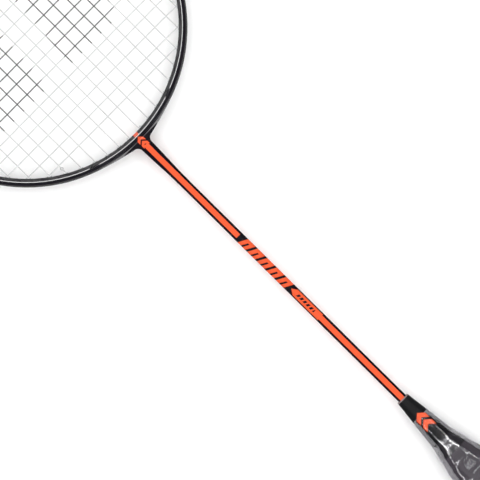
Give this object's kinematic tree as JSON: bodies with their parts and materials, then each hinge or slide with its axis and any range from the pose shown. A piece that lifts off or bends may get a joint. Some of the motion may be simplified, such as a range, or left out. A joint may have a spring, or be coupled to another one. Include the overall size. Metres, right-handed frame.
{
  "type": "badminton racket",
  "caption": "strung racket with a rounded-square hoop, blended throat, slim striped shaft, flared cone and octagonal wrapped handle in clear film",
  "frame": {"origin": "centre of the flat butt end of the handle", "axes": "+Y runs along the handle and shaft to the tip of the head, +Z is square to the string bed, +X runs across it"},
  "size_m": [0.198, 0.675, 0.0278],
  "materials": {
    "frame": "gloss lacquer over carbon fibre",
    "shaft": "gloss lacquer over carbon fibre, with orange stripes",
    "insert": "moulded carbon-filled insert, unseen",
    "foam": "closed foam, unseen",
    "cone": "smooth moulded plastic",
    "core": "bare turned wood, unseen",
    "cap": "fine-textured moulding",
    "badge": "plain printed disc",
    "backing": "woven double-sided tape, unseen",
    "grip": "synthetic leather strip",
    "tape": "smooth adhesive tape",
    "film": "clear thin film",
    "string": "woven nylon with dark stencilled bars",
    "grommet": "moulded nylon"
  },
  "bodies": {
    "root": {"frame_hoop": "frame", "t_joint": "insert", "shaft": "shaft", "shaft_plug": "foam", "cone_cap": "cone", "handle_core": "core", "butt_cap": "cap", "butt_badge": "badge", "grip_backing_tape": "backing", "grip_wrap": "grip", "finishing_tape": "tape", "film_sleeve": "film", "string_mains": "string", "string_crosses": "string", "string_knots": "string", "grommets_throat": "grommet", "grommets_left": "grommet", "grommets_right": "grommet", "grommets_tip": "grommet"}
  },
  "joints": []
}
